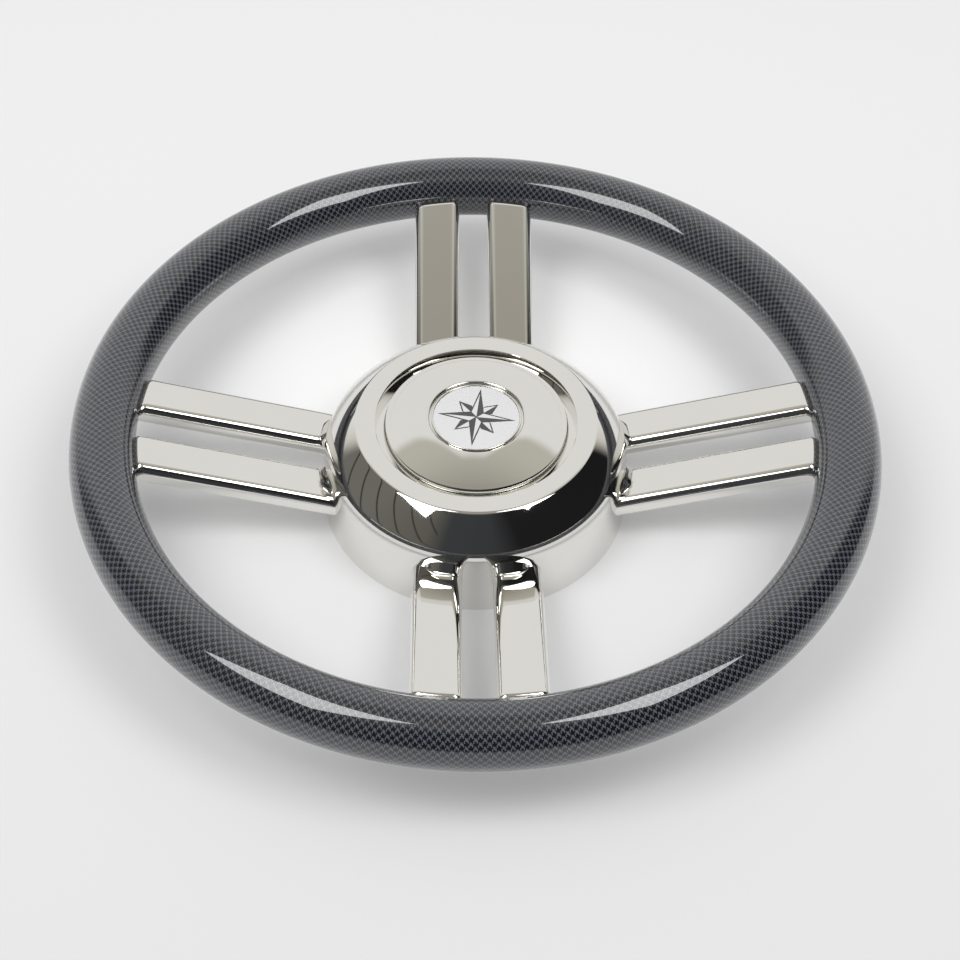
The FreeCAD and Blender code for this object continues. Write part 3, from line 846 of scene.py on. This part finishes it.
class WHEEL_OT_studio(bpy.types.Operator):
    """Floor, backdrop, lamps and camera"""

    bl_idname = "wheel.studio"
    bl_label = "Studio"

    # The lamps' names, places and sizes in metres, and power in watts, and the spot that they aim at
    LAMPS = (
        ("softbox_left", (-0.61, -0.36, 1.21), (0.60, 0.70), 6.8),
        ("softbox_right", (0.59, -0.29, 1.25), (0.53, 0.63), 5.6),
    )
    AIM = (0.0, 0.0, 0.03)

    # Walls of the room that polished metal mirrors, from its left to its right
    WALLS = (
        (0.05, (0.17, 0.165, 0.15)),
        (0.30, (0.12, 0.115, 0.10)),
        (0.38, (0.048, 0.05, 0.056)),
        (0.57, (0.042, 0.044, 0.048)),
        (0.67, (0.014, 0.014, 0.015)),
        (0.98, (0.012, 0.012, 0.013)),
    )
    SEAM = (0.045, 0.045, 0.045)
    SEAM_COUNT, SEAM_LEAN, SEAM_WIDTH, SEAMS_END = 9.0, 5.0, 0.10, 0.34
    LOW_CEILING = (0.54, 0.53, 0.47)
    HIGH_CEILING = (0.34, 0.32, 0.285)
    BACKDROP = (0.84, 0.835, 0.82)
    SEEN_BACKDROP = (0.80, 0.80, 0.80)

    # Where the room's parts start and where they are full. A rise counts from 0 at the horizon to 1
    # overhead, a turn from 0 beyond the wheel to 1 behind the camera.
    CEILING_RISE = (0.62, 0.80)
    CEILING_TURN = (0.36, 0.30)
    CEILING_SHADE = (0.62, 0.92)
    BACKDROP_TURN = (0.36, 0.24)
    BACKDROP_EDGE = (0.02, -0.03)

    # The backdrop's upper limit: its rise straight ahead, how far it sags, and over which turn
    BACKDROP_RISE, BACKDROP_SAG, SAG_TURN = 0.71, 0.13, (0.03, 0.14)

    # Even light from above: at the horizon and below, what is added overhead, and the rise between them
    EVEN_LIGHT, OVERHEAD_LIGHT, OVERHEAD_RISE = 0.27, 0.75, (0.2, 1.0)

    # The floor in metres: half its width, where its painted light turns from the darker near part to the
    # lighter far part, and the patch of painted light inside the wheel
    FLOOR_SIZE = 6.0
    PAINTED_LIGHT_FADE = (-0.45, 0.5)
    PAINTED_LIGHT_PATCH_CENTRE = 0.09
    PAINTED_LIGHT_PATCH_REACH = (0.15, 0.07)

    # The floor's colours: the patch of painted light, the speckle and its share, and what lightens the
    # shadows
    PAINTED_LIGHT_PATCH = (0.97, 0.97, 0.97)
    SPECKLE, SPECKLE_SHARE = (0.6, 0.6, 0.6), 0.02
    PALE, PALE_SHARE = (0.85, 0.85, 0.85), 0.22

    def execute(self, context):
        settings = context.scene.wheel_studio
        self.camera(context, settings)
        self.floor(context, settings)
        self.world(context)
        for lamp in self.LAMPS:
            self.lamp(context, *lamp)
        context.scene.view_settings.view_transform = "Standard"
        return {"FINISHED"}

    def camera(self, context, settings):
        """Stand the camera at the fitted angle, aimed near the rim's centre."""
        tilt, turn = settings.elevation, settings.azimuth
        vertical = Vector((0.0, 0.0, 1.0))
        back = Vector((math.sin(turn) * math.cos(tilt), -math.cos(turn) * math.cos(tilt), math.sin(tilt)))
        place = back * settings.distance
        right = (-back).cross(vertical).normalized()
        upward = right.cross(-back)
        sight = (right * settings.aim_right + upward * settings.aim_up - place).normalized()
        right = sight.cross(vertical).normalized()
        upward = right.cross(sight)
        rolled = right * math.cos(settings.roll) + upward * math.sin(settings.roll)
        upward = upward * math.cos(settings.roll) - right * math.sin(settings.roll)
        pose = Matrix((rolled, upward, -sight)).transposed().to_4x4()
        pose.translation = place + Vector((0.0, 0.0, RIM_HEIGHT))
        data = bpy.data.cameras.new("camera")
        data.lens = settings.lens
        data.sensor_width = 36.0
        data.clip_start = 0.01
        made = bpy.data.objects.new("camera", data)
        made.matrix_world = pose
        context.scene.collection.objects.link(made)
        context.scene.camera = made

    def floor(self, context, settings):
        """A wide pale floor with painted light: darker near the camera, lighter beyond the wheel, and
        lighter still in a patch inside the wheel, where the wheel shades it. Its shadows are a little
        lighter to the camera and in reflections.
        """
        mesh = bmesh.new()
        bmesh.ops.create_grid(mesh, x_segments=1, y_segments=1, size=self.FLOOR_SIZE)
        data = bpy.data.meshes.new("floor")
        mesh.to_mesh(data)
        mesh.free()
        data.shade_smooth()
        made = bpy.data.objects.new("floor", data)
        context.scene.collection.objects.link(made)
        shader = Shader(bpy.data.materials.new("floor_paper_and_painted_light"))
        place = shader.place()
        x, y, _ = shader.axes(place)
        away = y - self.PAINTED_LIGHT_PATCH_CENTRE
        reach = (x * x + away * away).math("SQRT")
        near, far = tuple(settings.near_floor_painted_shade), tuple(settings.far_floor_painted_light)
        # Painted light: the floor's colour fades from painted shade near the camera to painted light beyond
        # the wheel
        paper_and_painted_light = shader.mix(y.step(*self.PAINTED_LIGHT_FADE), near, far)
        # Painted light: a lighter patch inside the wheel, where the wheel shades the floor
        paper_and_painted_light = shader.mix(reach.step(*self.PAINTED_LIGHT_PATCH_REACH), paper_and_painted_light, self.PAINTED_LIGHT_PATCH)
        speckle = shader.noise(place, 2.0) * self.SPECKLE_SHARE
        surface = shader.node("ShaderNodeBsdfPrincipled", None, {
            "Base Color": shader.mix(speckle, paper_and_painted_light, self.SPECKLE),
            "Roughness": 0.7,
            "Specular IOR Level": 0.1,
        })
        pale = shader.node("ShaderNodeEmission", None, {"Color": self.PALE, "Strength": 1.0})
        reflected = shader.ray("Is Glossy Ray").math("MAXIMUM", shader.ray("Is Transmission Ray"))
        seen = shader.ray("Is Camera Ray").math("MAXIMUM", reflected)
        lifted = shader.node("ShaderNodeMixShader", None, [seen * self.PALE_SHARE, surface, pale])
        data.materials.append(shader.finish(lifted))

    def world(self, context):
        """A pale backdrop beyond the wheel, a dim ceiling, and a room behind the camera.

        Polished metal mirrors the room, which darkens to the right. Everything else is lit evenly from
        above, and the camera itself sees the backdrop.
        """
        context.scene.world = bpy.data.worlds.new("studio")
        shader = Shader(context.scene.world)
        x, y, z = shader.axes(shader.node("ShaderNodeTexCoord", output="Generated"))
        rise = z.math("ARCSINE") / math.radians(90.0)
        turn = x.math("ARCTAN2", y).math("ABSOLUTE") / math.pi
        side = x.math("ARCTAN2", y * -1.0) / math.pi + 0.5
        walls = shader.node("ShaderNodeValToRGB", {"stops": self.WALLS}, [side])
        across = (side * self.SEAM_COUNT + rise * self.SEAM_LEAN) % 1.0
        seams = (across < self.SEAM_WIDTH) * (side < self.SEAMS_END)
        ceiling = rise.step(*self.CEILING_RISE).math("MAXIMUM", turn.step(*self.CEILING_TURN))
        sky = shader.mix(rise.step(*self.CEILING_SHADE), self.LOW_CEILING, self.HIGH_CEILING)
        room = shader.mix(ceiling, shader.mix(seams, walls, self.SEAM), sky)
        limit = self.BACKDROP_RISE - turn.step(*self.SAG_TURN) * self.BACKDROP_SAG
        backdrop = turn.step(*self.BACKDROP_TURN) * (rise - limit).step(*self.BACKDROP_EDGE)
        room = shader.mix(backdrop, room, self.BACKDROP)
        even = rise.step(*self.OVERHEAD_RISE) * self.OVERHEAD_LIGHT + self.EVEN_LIGHT
        mirrored = shader.mix(shader.ray("Is Glossy Ray"), even, room)
        seen = shader.mix(shader.ray("Is Camera Ray"), mirrored, self.SEEN_BACKDROP)
        surface = shader.node("ShaderNodeBackground", None, [seen, 1.0])
        shader.finish(surface, "ShaderNodeOutputWorld")

    def lamp(self, context, name, place, spread, power):
        """A rectangular soft lamp."""
        data = bpy.data.lights.new(name, "AREA")
        data.shape = "RECTANGLE"
        data.size, data.size_y = spread
        data.energy = power
        made = bpy.data.objects.new(name, data)
        made.location = place
        sight = Vector(self.AIM) - Vector(place)
        made.rotation_euler = sight.to_track_quat("-Z", "Y").to_euler()
        context.scene.collection.objects.link(made)


class WHEEL_PT_panel(bpy.types.Panel):
    """Lists the wheel's pieces in the sidebar"""

    bl_idname = "WHEEL_PT_panel"
    bl_label = "Steering wheel"
    bl_space_type = "VIEW_3D"
    bl_region_type = "UI"
    bl_category = "Wheel"

    def draw(self, context):
        scene = context.scene
        for operator in OPERATORS:
            self.layout.operator(operator.bl_idname)
        for group in (scene.wheel_sizes, scene.wheel_finishes, scene.wheel_studio):
            for name in group.__annotations__:
                self.layout.prop(group, name)


OPERATORS = (
    WHEEL_OT_studio,
    WHEEL_OT_grip,
    WHEEL_OT_forks,
    WHEEL_OT_shell,
    WHEEL_OT_cap,
    WHEEL_OT_badge,
    WHEEL_OT_carried,
)
CLASSES = (WheelSizes, WheelFinishes, StudioSettings, *OPERATORS, WHEEL_PT_panel)


def register():
    for item in CLASSES:
        bpy.utils.register_class(item)
    bpy.types.Scene.wheel_sizes = bpy.props.PointerProperty(type=WheelSizes)
    bpy.types.Scene.wheel_finishes = bpy.props.PointerProperty(type=WheelFinishes)
    bpy.types.Scene.wheel_studio = bpy.props.PointerProperty(type=StudioSettings)


def unregister():
    for name in ("wheel_sizes", "wheel_finishes", "wheel_studio"):
        delattr(bpy.types.Scene, name)
    for item in reversed(CLASSES):
        bpy.utils.unregister_class(item)


def main():
    register()
    bpy.ops.wheel.studio()
    bpy.ops.wheel.grip()
    bpy.ops.wheel.forks()
    bpy.ops.wheel.shell()
    bpy.ops.wheel.cap()
    bpy.ops.wheel.badge()
    bpy.ops.wheel.carried()


if __name__ == "__main__":
    main()
